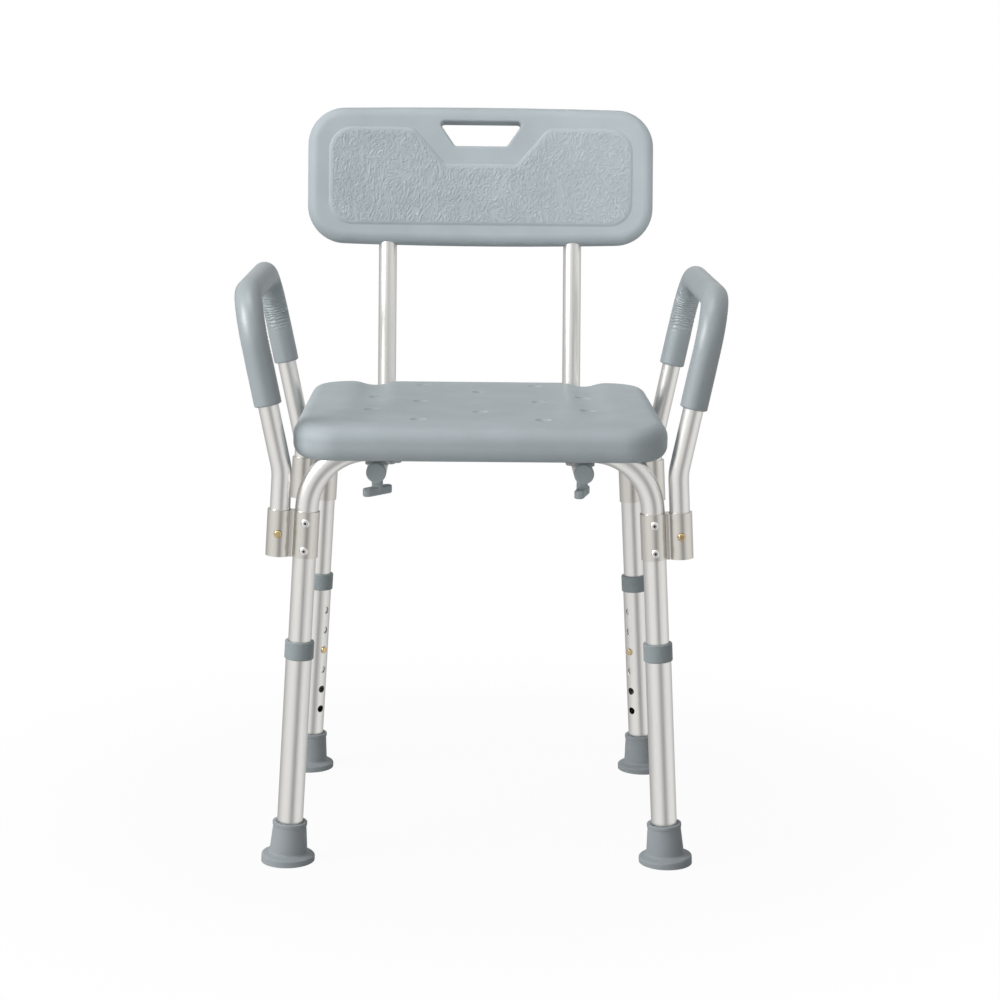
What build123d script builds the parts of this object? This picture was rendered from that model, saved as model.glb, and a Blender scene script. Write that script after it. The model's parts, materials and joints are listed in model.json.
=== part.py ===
from build123d import *
from math import atan2, cos, degrees, radians, sin, sqrt, tan
import os

os.makedirs("parts", exist_ok=True)

# A shower chair: a moulded seat and backrest on two bent tube frames, with padded arms
# that lift off and legs that telescope. Sizes are millimetres and degrees.
# +Z is up, the front faces -Y and +X is to the right as seen from the front.
# The origin is on the floor, under the middle of the chair's outline.

# Clearances
fit = 0.05           # pieces that are fixed to each other
slide_gap = 0.3      # pieces that slide or turn in each other

# Frames: an inverted U of tube at the front and one at the rear
leg_outset = 6.6     # leg axis at the floor, outside the edge of the seat
leg_base = 350.0     # front to rear leg axis
leg_splay = 3.3      # lean of each leg
frame_od = 25.4
frame_wall = 1.5
frame_end = 114.0    # lower end of the frame tube, up the leg
frame_bend = 68.0
cross_inset = 12.5   # axis of the cross tube above the underside of the seat

# Telescopic legs, measured up the leg axis from the floor
leg_wall = 1.3
foot_floor = 12.0    # rubber under the end of the leg
collar_bottom = 230.5
collar_height = 20.0
collar_lip = 3.5
collar_wall = 1.6
collar_round = 1.2
button_height = 154.3
hole_pitch = 25.4
holes_above = 2
holes_below = 3
button_angle = 45.0  # buttons face the middle of the chair

# Rubber feet
foot_height = 45.0
foot_top_od = 36.6
foot_waist_od = 42.0
foot_base_od = 59.0
foot_flange = 7.5
foot_step = 2.5
flange_round = 2.2
waist_round = 3.0
foot_bead = 4.0
foot_bead_proud = 0.8
foot_bead_round = 0.7
foot_mouth = 1.6     # bevel of the opening that the leg goes into
sole_groove_od = 38.0
sole_groove_width = 3.0
sole_groove_depth = 1.2

# Snap buttons on leaf springs
button_od = 8.4
button_gap = 0.25
button_proud = 2.2
button_dome = 2.0
leaf_thickness = 0.8
leaf_width = 7.0
leaf_length = 30.0
leaf_bend = 4.6

# Arm brackets: a ring on the leg and a socket beside it
bracket_bottom = 344.0
bracket_height = 50.5
ring_wall = 1.6
socket_wall = 2.0
socket_offset = 28.8
bracket_web = 13.0
bracket_round = 2.0
rivet_rows = (8.5, 39.0)
rivet_shank = 4.8
rivet_head_od = 9.5
rivet_head = 2.4
rivet_grip = 1.2
rivet_eye = 2.6

# Arms
arm_od = 22.2
arm_wall = 1.4
arm_foot = 2.0       # lower end of the arm above the bottom of its socket
front_kink = 42.0    # bend above the socket
rear_kink = 16.0
arm_kink_bend = 60.0
arm_rise = 229.7     # top of the arm above its sockets
front_arm_outset = 48.0  # axis at the top, outside the edge of the seat
rear_arm_outset = 55.0
arm_bend = 55.0
grip_od = 29.8
front_grip_drop = 115.5  # end of the grip below the top of the arm
rear_grip_drop = 110.0
grip_round = 2.0

# Seat
seat_width = 406.0
seat_bottom = 449.0
seat_thickness = 41.0
seat_front_overhang = 22.0
seat_rear_overhang = 16.0
seat_corner = 50.0
seat_round = 16.0
seat_skin = 3.5
seat_edge = 10.0     # plastic round the sides of the hollow
channel_x = 127.0
channel_width = 58.0
channel_depth = 4.7  # at the rear; the channels run out towards the front
channel_end_depth = 0.4
fall_length = 58.0   # start of the front curve behind the front edge
fall_drop = 5.5
drain_columns = ((0.0, (-83.0, 83.0)), (68.0, (-143.0, 0.0, 143.0)), (122.0, (-57.0, 57.0)))
drain_dish_od = 18.0
drain_dish_depth = 3.2
drain_hole = 5.5
drain_wall = 3.0
seat_screw_x = 96.5
seat_screw_od = 5.0
seat_screw_bite = 9.0
seat_screw_head_od = 9.5
seat_screw_head = 3.2
screw_head_round = 1.4

# Tubes that carry the backrest
back_spread = 228.4
back_od = 22.2
back_wall = 1.4
back_tube_gap = 10.4     # between the tubes and the underside of the seat
back_tube_front = 50.0   # front end behind the front leg axis
back_bend = 40.0
back_corner = 22.7       # where the post line meets the run, behind the rear leg axis
recline = 10.2
cap_dome = 3.0
cap_plug = 14.0
cap_round = 2.0

# Knobs that clamp the back tubes under the seat
knob_setback = 35.0      # front knob behind the front end of its tube
rear_knob_setback = 50.0  # rear knob ahead of the rear leg axis
knob_angles = {("front", "left"): 50.0, ("front", "right"): 76.0,
               ("rear", "left"): 18.0, ("rear", "right"): 112.0}
knob_length = 43.0
knob_width = 11.0
knob_bar = 9.5
knob_stem_od = 12.6
knob_stem = 10.0
knob_round = 2.0
knob_screw_od = 6.0
knob_screw_gap = 1.5     # free end of the screw below the top of its insert
knob_screw_root = 6.0    # length held in the knob
boss_od = 27.0
boss_lip = 4.0           # lower edge of the boss above the tube axis
insert_od = 9.6
insert_length = 14.0

# Backrest
back_width = 427.0
back_height = 171.0
back_thickness = 32.0
back_bottom = 227.6      # up the post line from the tube run
back_corner_radius = 46.0
back_round = 13.0
back_crown_top = 2.5
back_crown_bottom = 4.0
back_skin = 3.5
socket_depth = 105.0
panel_width = 372.0
panel_height = 118.0
panel_drop = 1.3
panel_corner = 28.0
panel_rise = 1.5
panel_slope = 45.0       # lean of the panel's border
notch_top = 166.0
notch_bottom = 89.0
notch_height = 45.0
notch_round = 8.0
notch_crest = 14.0       # rounding where the notch meets the panel's top edge
handle_top = 105.0
handle_bottom = 64.0
handle_height = 30.0
handle_rim = 19.0
handle_corner = 4.0
handle_round = 3.0
back_screw_rise = 45.0
back_screw_od = 4.0
back_screw_bite = 5.0
back_screw_head_od = 8.5
back_screw_head = 2.8

# Sizes worked out from those above
leg_spread = seat_width + 2 * leg_outset
socket_middle = bracket_bottom + bracket_height / 2
socket_top = bracket_bottom + bracket_height
arm_top_height = socket_top * cos(radians(leg_splay)) + arm_rise
arm_spread = {"front": seat_width + 2 * front_arm_outset, "rear": seat_width + 2 * rear_arm_outset}
arm_kink = {"front": front_kink, "rear": rear_kink}
grip_drop = {"front": front_grip_drop, "rear": rear_grip_drop}
seat_top = seat_bottom + seat_thickness
cross_height = seat_bottom + cross_inset
back_tube_height = seat_bottom - back_tube_gap - back_od / 2
leg_bore = frame_od + 2 * slide_gap
leg_od = leg_bore + 2 * leg_wall
leg_top = collar_bottom + collar_height - collar_lip
collar_od = leg_od + 2 * fit + 2 * collar_wall
socket_bore = arm_od + 2 * slide_gap
socket_od = socket_bore + 2 * socket_wall
ring_bore = frame_od + 2 * fit
ring_od = ring_bore + 2 * ring_wall
button_hole = button_od + 2 * button_gap
back_rise = Vector(0, sin(radians(recline)), cos(radians(recline)))
back_end = back_bottom + back_height - back_round

# The chair reaches from the front of the front feet to the back of the backrest's top
reach_front = foot_base_od / 2
reach_rear = leg_base + back_corner + back_end * back_rise.Y
reach_rear += (back_thickness / 2 - back_round) * back_rise.Z + back_round
front_y = (reach_front - reach_rear) / 2
leg_y = {"front": front_y, "rear": front_y + leg_base}
side_sign = {"left": -1, "right": 1}
end_sign = {"front": -1, "rear": 1}
corners = [(end, side) for end in leg_y for side in side_sign]


def leg_plane(end, side):
    """Plane on the floor with Z up the leg and X towards the middle of the chair."""
    sign = side_sign[side]
    lean = radians(leg_splay)
    foot = (sign * leg_spread / 2, leg_y[end], 0)
    return Plane(foot, x_dir=(-sign * cos(lean), 0, -sin(lean)), z_dir=(-sign * sin(lean), 0, cos(lean)))


def socket_plane(end, side):
    """Plane like the leg's, on the axis of the arm socket."""
    plane = leg_plane(end, side)
    return Plane(plane.origin - plane.x_dir * socket_offset, x_dir=plane.x_dir, z_dir=plane.z_dir)


def facing(plane, height, direction):
    """Plane on a tube's axis at a height, with Z along a direction across it and X up the tube."""
    return Plane(plane.origin + plane.z_dir * height, x_dir=plane.z_dir, z_dir=direction)


def inward(end, side):
    """Direction across a leg towards the middle of the chair."""
    plane = leg_plane(end, side)
    turn = radians(button_angle)
    return plane.x_dir * cos(turn) - Vector(0, end_sign[end] * sin(turn), 0)


def outward(end):
    """Direction straight out of the chair's front or rear."""
    return Vector(0, end_sign[end], 0)


def half_section(plane):
    """Plane for a profile to be revolved: X across the axis, Y up it."""
    return Plane(plane.origin, x_dir=plane.x_dir, z_dir=-plane.y_dir)


def frame_points(end):
    """Corner points of a frame tube's axis, from its left to its right lower end."""
    left = leg_plane(end, "left")
    right = leg_plane(end, "right")
    corner_x = leg_spread / 2 - cross_height * tan(radians(leg_splay))
    return [
        left.origin + left.z_dir * frame_end,
        Vector(-corner_x, leg_y[end], cross_height),
        Vector(corner_x, leg_y[end], cross_height),
        right.origin + right.z_dir * frame_end,
    ]


def save(piece, label):
    """Name a finished piece and write its file."""
    piece.part.label = label
    export_step(piece.part, f"parts/{label}.step")


# Where the knobs and the back tubes stand
knob_y = {"front": front_y + back_tube_front + knob_setback, "rear": leg_y["rear"] - rear_knob_setback}
tube_start_y = front_y + back_tube_front
tube_corner_y = leg_y["rear"] + back_corner
insert_bottom = back_tube_height + back_od / 2 + fit
insert_top = insert_bottom + insert_length


def post_point(side, distance):
    """Point on the axis of a back post, at a distance up from the tube run."""
    base = Vector(side_sign[side] * back_spread / 2, tube_corner_y, back_tube_height)
    return base + back_rise * distance


back_middle = Vector(0, tube_corner_y, back_tube_height) + back_rise * (back_bottom + back_height / 2)
back_plane = Plane(back_middle, x_dir=(1, 0, 0), z_dir=(0, -back_rise.Z, back_rise.Y))
back_axis = Axis(back_middle, back_plane.z_dir)


# Frame tubes, with holes for the buttons, rivets and seat screws
for end in leg_y:
    with BuildPart() as frame:
        with BuildLine() as route:
            FilletPolyline(*frame_points(end), radius=frame_bend)
        with BuildSketch(Plane(route.line @ 0, z_dir=route.line % 0)):
            Circle(frame_od / 2)
            Circle(frame_od / 2 - frame_wall, mode=Mode.SUBTRACT)
        sweep()
        for side in side_sign:
            plane = leg_plane(end, side)
            with BuildSketch(facing(plane, button_height, inward(end, side))):
                Circle(button_hole / 2)
            extrude(amount=frame_od, mode=Mode.SUBTRACT)
            for row in rivet_rows:
                with BuildSketch(facing(plane, bracket_bottom + row, outward(end))):
                    Circle(rivet_shank / 2 + fit)
                extrude(amount=frame_od, mode=Mode.SUBTRACT)
        with BuildSketch(Plane.XY.offset(cross_height)):
            with Locations((-seat_screw_x, leg_y[end]), (seat_screw_x, leg_y[end])):
                Circle(seat_screw_od / 2 + fit)
        extrude(amount=frame_od, both=True, mode=Mode.SUBTRACT)
    save(frame, f"{end}_frame")


# Legs, collars, feet and their buttons
for end, side in corners:
    plane = leg_plane(end, side)
    button_plane = facing(plane, button_height, inward(end, side))

    with BuildPart() as leg:
        with BuildSketch(plane.offset(foot_floor)):
            Circle(leg_od / 2)
            Circle(leg_bore / 2, mode=Mode.SUBTRACT)
        extrude(amount=leg_top - foot_floor)
        with BuildSketch(button_plane):
            with Locations(*[(hole_pitch * row, 0) for row in range(-holes_below, holes_above + 1)]):
                Circle(button_hole / 2)
        extrude(amount=leg_od, mode=Mode.SUBTRACT)
    save(leg, f"{end}_{side}_leg")

    with BuildPart() as collar:
        with BuildSketch(plane.offset(collar_bottom)):
            Circle(collar_od / 2)
        extrude(amount=collar_height)
        fillet(collar.edges(), radius=collar_round)
        with BuildSketch(plane.offset(collar_bottom)):
            Circle(leg_od / 2 + fit)
        extrude(amount=leg_top - collar_bottom, mode=Mode.SUBTRACT)
        with BuildSketch(plane.offset(leg_top)):
            Circle(leg_bore / 2)
        extrude(amount=collar_lip, mode=Mode.SUBTRACT)
    save(collar, f"{end}_{side}_collar")

    with BuildPart() as foot:
        tilt_drop = foot_base_od / 2 * tan(radians(leg_splay))
        bead_od = foot_top_od + 2 * foot_bead_proud
        bore = leg_od / 2 + fit
        profile = [
            ((0, -tilt_drop), 0),
            ((foot_base_od / 2, -tilt_drop), 0),
            ((foot_base_od / 2, foot_flange), flange_round),
            ((foot_waist_od / 2, foot_flange + foot_step), waist_round),
            ((foot_top_od / 2, foot_height - foot_bead), 0),
            ((bead_od / 2, foot_height - foot_bead), foot_bead_round),
            ((bead_od / 2, foot_height), foot_bead_round),
            ((bore + foot_mouth, foot_height), 0),
            ((bore, foot_height - foot_mouth), 0),
            ((bore, foot_floor), 0),
            ((0, foot_floor), 0),
        ]
        with BuildSketch(half_section(plane)):
            with BuildLine():
                FilletPolyline([point for point, _ in profile], radius=[r for _, r in profile], close=True)
            make_face()
        revolve(axis=Axis(plane.origin, plane.z_dir))
        split(bisect_by=Plane.XY, keep=Keep.TOP)
        with BuildSketch(Plane.XY):
            with Locations((plane.origin.X, plane.origin.Y)):
                Circle(sole_groove_od / 2)
                Circle(sole_groove_od / 2 - sole_groove_width, mode=Mode.SUBTRACT)
        extrude(amount=sole_groove_depth, mode=Mode.SUBTRACT)
    save(foot, f"{end}_{side}_foot")


def snap_button(plane, bore, face, label):
    """A domed button on a U of leaf spring inside a tube: Z is out of the hole, the leaf goes along -X."""
    leaf_out = sqrt((bore / 2) ** 2 - (leaf_width / 2) ** 2) - slide_gap
    near = leaf_out - leaf_thickness / 2
    far = near - 2 * leaf_bend
    with BuildPart() as clip:
        side_plane = Plane(plane.origin, x_dir=-plane.x_dir, z_dir=plane.y_dir)
        with BuildSketch(side_plane):
            with BuildLine():
                near_leaf = Line((-button_od / 2, near), (leaf_length - leaf_bend, near))
                turn = JernArc(near_leaf @ 1, (1, 0), leaf_bend, -180)
                Line(turn @ 1, (0, far))
            trace(line_width=leaf_thickness)
        extrude(amount=leaf_width / 2, both=True)
        with BuildSketch(plane.offset(near)):
            Circle(button_od / 2)
        extrude(amount=face + button_proud - near)
        top = clip.edges().filter_by(GeomType.CIRCLE).sort_by(Axis(plane.origin, plane.z_dir))[-1]
        fillet(top, radius=button_dome)
    save(clip, label)


for end, side in corners:
    leg_button_plane = facing(leg_plane(end, side), button_height, inward(end, side))
    snap_button(leg_button_plane, frame_od - 2 * frame_wall, leg_od / 2, f"{end}_{side}_leg_button")
    spot = facing(socket_plane(end, side), socket_middle, outward(end))
    arm_button_plane = Plane(spot.origin, x_dir=-spot.x_dir, z_dir=spot.z_dir)
    snap_button(arm_button_plane, arm_od - 2 * arm_wall, socket_od / 2, f"{end}_{side}_arm_button")


# Arm brackets and the rivets that fix them
for end, side in corners:
    with BuildPart() as bracket:
        plane = leg_plane(end, side)
        with BuildSketch(plane.offset(bracket_bottom)) as outline:
            Circle(ring_od / 2)
            with Locations((-socket_offset, 0)):
                Circle(socket_od / 2)
            with Locations((-socket_offset / 2, 0)):
                Rectangle(socket_offset, bracket_web)
            fillet(outline.vertices(), radius=bracket_round)
            Circle(ring_bore / 2, mode=Mode.SUBTRACT)
            with Locations((-socket_offset, 0)):
                Circle(socket_bore / 2, mode=Mode.SUBTRACT)
        extrude(amount=bracket_height)
        for row in rivet_rows:
            with BuildSketch(facing(plane, bracket_bottom + row, outward(end))):
                Circle(rivet_shank / 2 + fit)
            extrude(amount=ring_od, mode=Mode.SUBTRACT)
        with BuildSketch(facing(socket_plane(end, side), socket_middle, outward(end))):
            Circle(button_hole / 2)
        extrude(amount=socket_od, mode=Mode.SUBTRACT)
    save(bracket, f"{end}_{side}_bracket")

with BuildPart() as rivets:
    for end, side in corners:
        for row in rivet_rows:
            across = facing(leg_plane(end, side), bracket_bottom + row, outward(end))
            with BuildSketch(half_section(across)):
                with BuildLine():
                    shank_in = frame_od / 2 - frame_wall - rivet_grip
                    Line((rivet_eye / 2, shank_in), (rivet_shank / 2, shank_in))
                    Line((rivet_shank / 2, shank_in), (rivet_shank / 2, ring_od / 2))
                    Line((rivet_shank / 2, ring_od / 2), (rivet_head_od / 2, ring_od / 2))
                    dome = JernArc((rivet_head_od / 2, ring_od / 2), (0, 1), rivet_head, 90)
                    flat = Line(dome @ 1, (rivet_eye / 2, ring_od / 2 + rivet_head))
                    Line(flat @ 1, (rivet_eye / 2, shank_in))
                make_face()
            revolve(axis=Axis(across.origin, across.z_dir))
save(rivets, "bracket_rivets")


# Arms: a bent tube that stands in a front and a rear socket, and its padded grip
def arm_points(side):
    """Corner points of an arm's axis, from its front end to its rear end."""
    sign = side_sign[side]
    points = []
    for end in leg_y:
        plane = socket_plane(end, side)
        foot = plane.origin + plane.z_dir * (bracket_bottom + arm_foot)
        kink = plane.origin + plane.z_dir * (socket_top + arm_kink[end])
        top = Vector(sign * arm_spread[end] / 2, leg_y[end], arm_top_height)
        points.append([foot, kink, top])
    return points[0] + points[1][::-1]


for side in side_sign:
    points = arm_points(side)
    bends = [arm_kink_bend, arm_bend, arm_bend, arm_kink_bend]

    with BuildPart() as arm:
        with BuildLine() as route:
            FilletPolyline(*points, radius=bends)
        with BuildSketch(Plane(route.line @ 0, z_dir=route.line % 0)):
            Circle(arm_od / 2)
            Circle(arm_od / 2 - arm_wall, mode=Mode.SUBTRACT)
        sweep()
        for end in leg_y:
            with BuildSketch(facing(socket_plane(end, side), socket_middle, outward(end))):
                Circle(button_hole / 2)
            extrude(amount=arm_od, mode=Mode.SUBTRACT)
    save(arm, f"{side}_arm")

    post = {"front": points[1] - points[2], "rear": points[4] - points[3]}
    grip_front = points[2] - post["front"] * (grip_drop["front"] / post["front"].Z)
    grip_rear = points[3] - post["rear"] * (grip_drop["rear"] / post["rear"].Z)
    with BuildPart() as grip:
        with BuildLine() as route:
            FilletPolyline(grip_front, points[2], points[3], grip_rear, radius=arm_bend)
        with BuildSketch(Plane(route.line @ 0, z_dir=route.line % 0)):
            Circle(grip_od / 2)
        sweep()
        fillet(grip.faces().filter_by(GeomType.PLANE).edges(), radius=grip_round)
        with BuildSketch(Plane(route.line @ 0, z_dir=route.line % 0)):
            Circle(arm_od / 2 + fit)
        sweep(path=route.line, mode=Mode.SUBTRACT)
    save(grip, f"{side}_grip")


# Seat: a moulded shell, hollow inside, with tube grooves and clamp bosses underneath
seat_front_y = leg_y["front"] - seat_front_overhang
seat_rear_y = leg_y["rear"] + seat_rear_overhang
seat_depth = seat_rear_y - seat_front_y
seat_middle_y = (leg_y["front"] + leg_y["rear"]) / 2
knob_places = [(side_sign[side] * back_spread / 2, knob_y[end]) for end, side in corners]
channel_half = channel_width / 2
fall_radius = (fall_length**2 + fall_drop**2) / (2 * fall_drop)
rim_limit = (seat_thickness - max(channel_depth, fall_drop)) / 2 - fit
rim_round = min(seat_round, rim_limit)


def channel_at(y):
    """Depth of the thigh channels, which run out from the rear to the front."""
    return channel_depth - (channel_depth - channel_end_depth) * (seat_rear_y - y) / seat_depth


drain_places = [
    (sign * x, seat_middle_y + y)
    for x, rows in drain_columns
    for y in rows
    for sign in ((1,) if x == 0 else (-1, 1))
]
# The outer columns of drains lie in the thigh channels
drain_drop = {
    (x, y): channel_at(y) if abs(abs(x) - channel_x) < channel_half else 0
    for x, y in drain_places
}

with BuildPart() as seat:
    # The loft is wider than the seat and is then cut to its outline
    loft_half = seat_width / 2 + seat_round
    for y in (seat_rear_y, seat_front_y):
        # Each side of a channel is two equal arcs, so the channel runs smoothly into the top
        depth = channel_at(y)
        channel_radius = (channel_half**2 + depth**2) / (4 * depth)
        channel_turn = 2 * degrees(atan2(depth, channel_half))
        with BuildSketch(Plane((0, y, 0), x_dir=(1, 0, 0), z_dir=(0, -1, 0))):
            with BuildLine():
                edge = Line((-loft_half, seat_top), (-channel_x - channel_half, seat_top))
                for finish in (channel_x - channel_half, loft_half):
                    fall = JernArc(edge @ 1, (1, 0), channel_radius, -channel_turn)
                    base = JernArc(fall @ 1, fall % 1, channel_radius, 2 * channel_turn)
                    climb = JernArc(base @ 1, base % 1, channel_radius, -channel_turn)
                    edge = Line(climb @ 1, (finish, seat_top))
                low_right = (loft_half, seat_bottom)
                low_left = (-loft_half, seat_bottom)
                Polyline(edge @ 1, low_right, low_left, (-loft_half, seat_top))
            make_face()
    loft(ruled=True)
    with BuildSketch(Plane.XY.offset(seat_bottom)):
        with Locations((0, (seat_front_y + seat_rear_y) / 2)):
            RectangleRounded(seat_width, seat_depth, seat_corner)
    extrude(amount=seat_thickness, mode=Mode.INTERSECT)
    # The front of the top falls away in one wide curve
    with BuildSketch(Plane((seat_width / 2, 0, 0), x_dir=(0, 1, 0), z_dir=(1, 0, 0))):
        with Locations((seat_front_y + fall_length / 2, seat_top)):
            Rectangle(fall_length, 2 * seat_thickness)
        with Locations((seat_front_y + fall_length, seat_top - fall_radius)):
            Circle(fall_radius, mode=Mode.SUBTRACT)
    extrude(amount=-seat_width, mode=Mode.SUBTRACT)
    walls = seat.faces().filter_by(lambda face: abs(face.normal_at().Z) < fit)
    rim = walls.edges().filter_by(Axis.Z, reverse=True)
    fillet(rim, radius=rim_round)
    # Grooves that the frame tubes lie in, open below
    for end in leg_y:
        with BuildLine() as route:
            FilletPolyline(*frame_points(end), radius=frame_bend)
        inside = leg_plane(end, "left").x_dir
        with BuildSketch(Plane(route.line @ 0, x_dir=inside, z_dir=route.line % 0)):
            Circle(frame_od / 2 + fit)
            Rectangle(cross_inset + fit, frame_od + 2 * fit, align=(Align.MIN, Align.CENTER))
        sweep(mode=Mode.SUBTRACT)
    with BuildSketch(Plane.XY.offset(cross_height)):
        with Locations(*[(sign * seat_screw_x, y) for sign in (-1, 1) for y in leg_y.values()]):
            Circle(seat_screw_od / 2)
    extrude(amount=frame_od / 2 + seat_screw_bite, mode=Mode.SUBTRACT)
    # Bosses that the back tubes lie in
    with BuildSketch(Plane.XY.offset(back_tube_height + boss_lip)):
        with Locations(*knob_places):
            Circle(boss_od / 2)
    extrude(amount=seat_bottom - back_tube_height - boss_lip + seat_skin)
    with BuildSketch(Plane((0, tube_start_y, 0), x_dir=(1, 0, 0), z_dir=(0, -1, 0))):
        with Locations((-back_spread / 2, back_tube_height), (back_spread / 2, back_tube_height)):
            Circle(back_od / 2 + fit)
    extrude(amount=-leg_base, mode=Mode.SUBTRACT)
    # Drains: a dished recess with a hole through the seat
    with BuildSketch(Plane.XY.offset(seat_top - channel_depth)):
        with Locations(*drain_places):
            Circle(drain_hole / 2)
    extrude(amount=seat_thickness, both=True, mode=Mode.SUBTRACT)
    dish_radius = (drain_dish_od**2 / 4 + drain_dish_depth**2) / (2 * drain_dish_depth)
    dish_rise = dish_radius - drain_dish_depth
    with Locations(*[(x, y, seat_top - drop + dish_rise) for (x, y), drop in drain_drop.items()]):
        Sphere(dish_radius, mode=Mode.SUBTRACT)
    # The hollow between the skins, closed round each drain and boss
    hollow_front = leg_y["front"] + frame_od / 2 + seat_skin
    hollow_rear = leg_y["rear"] - frame_od / 2 - seat_skin
    with BuildSketch(Plane.XY.offset(seat_bottom + seat_skin)):
        with Locations((0, (hollow_front + hollow_rear) / 2)):
            RectangleRounded(seat_width - 2 * seat_edge, hollow_rear - hollow_front, seat_edge)
        with Locations(*drain_places):
            Circle(drain_dish_od / 2 + drain_wall, mode=Mode.SUBTRACT)
        with Locations(*knob_places):
            Circle(boss_od / 2, mode=Mode.SUBTRACT)
    extrude(amount=seat_thickness - 2 * seat_skin - channel_depth, mode=Mode.SUBTRACT)
    with BuildSketch(Plane.XY.offset(insert_bottom - back_od / 2)):
        with Locations(*knob_places):
            Circle(insert_od / 2 + fit)
    extrude(amount=back_od / 2 + insert_length + fit, mode=Mode.SUBTRACT)
save(seat, "seat")

with BuildPart() as seat_screws:
    for y in leg_y.values():
        with BuildSketch(Plane.XY.offset(cross_height - frame_od / 2)):
            with Locations((-seat_screw_x, y), (seat_screw_x, y)):
                Circle(seat_screw_head_od / 2)
        extrude(amount=-seat_screw_head)
        with BuildSketch(Plane.XY.offset(cross_height - frame_od / 2)):
            with Locations((-seat_screw_x, y), (seat_screw_x, y)):
                Circle(seat_screw_od / 2)
        extrude(amount=frame_od + seat_screw_bite)
    heads = seat_screws.edges().filter_by(GeomType.CIRCLE).group_by(Axis.Z)[0]
    fillet(heads, radius=screw_head_round)
save(seat_screws, "seat_screws")

with BuildPart() as inserts:
    with BuildSketch(Plane.XY.offset(insert_bottom)):
        with Locations(*knob_places):
            Circle(insert_od / 2)
            Circle(knob_screw_od / 2 + slide_gap, mode=Mode.SUBTRACT)
    extrude(amount=insert_length)
save(inserts, "knob_inserts")


# Back tubes, their end caps and the knobs that clamp them
for side in side_sign:
    x = side_sign[side] * back_spread / 2
    with BuildPart() as back_tube:
        with BuildLine() as route:
            FilletPolyline(
                (x, tube_start_y, back_tube_height),
                (x, tube_corner_y, back_tube_height),
                post_point(side, back_bottom + socket_depth),
                radius=back_bend,
            )
        with BuildSketch(Plane(route.line @ 0, z_dir=route.line % 0)):
            Circle(back_od / 2)
            Circle(back_od / 2 - back_wall, mode=Mode.SUBTRACT)
        sweep()
        with BuildSketch(Plane.XY.offset(back_tube_height)):
            with Locations(*[(x, y) for y in knob_y.values()]):
                Circle(knob_screw_od / 2 + slide_gap)
        extrude(amount=back_od, both=True, mode=Mode.SUBTRACT)
        with BuildSketch(Plane(post_point(side, back_bottom + back_screw_rise), z_dir=-back_plane.z_dir)):
            Circle(back_screw_od / 2 + fit)
        extrude(amount=back_od, mode=Mode.SUBTRACT)
    save(back_tube, f"{side}_back_tube")

with BuildPart() as caps:
    for side in side_sign:
        tube_end = (side_sign[side] * back_spread / 2, tube_start_y, back_tube_height)
        end_plane = Plane(tube_end, z_dir=(0, -1, 0))
        with BuildSketch(end_plane):
            Circle(back_od / 2)
        extrude(amount=cap_dome)
        with BuildSketch(end_plane):
            Circle(back_od / 2 - back_wall - fit)
        extrude(amount=-cap_plug)
    fillet(caps.edges().filter_by(GeomType.CIRCLE).group_by(Axis.Y)[0], radius=cap_round)
save(caps, "back_tube_caps")

knob_top = back_tube_height - back_od / 2 - slide_gap
for end, side in corners:
    spot = (side_sign[side] * back_spread / 2, knob_y[end], knob_top)
    turned = Plane(spot, z_dir=(0, 0, 1)).rotated((0, 0, knob_angles[end, side]))

    with BuildPart() as knob:
        with BuildSketch(turned.offset(-knob_stem)):
            SlotOverall(knob_length, knob_width)
        extrude(amount=-knob_bar)
        fillet(knob.faces().filter_by(Axis.Z).edges(), radius=knob_round)
        with BuildSketch(turned):
            Circle(knob_stem_od / 2)
        extrude(amount=-knob_stem - knob_bar / 2)
        with BuildSketch(turned):
            Circle(knob_screw_od / 2 + fit)
        extrude(amount=-knob_screw_root, mode=Mode.SUBTRACT)
    save(knob, f"{end}_{side}_knob")

    with BuildPart() as screw:
        with BuildSketch(turned.offset(-knob_screw_root)):
            Circle(knob_screw_od / 2)
        extrude(amount=knob_screw_root + insert_top - knob_screw_gap - knob_top)
    save(screw, f"{end}_{side}_knob_screw")


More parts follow.
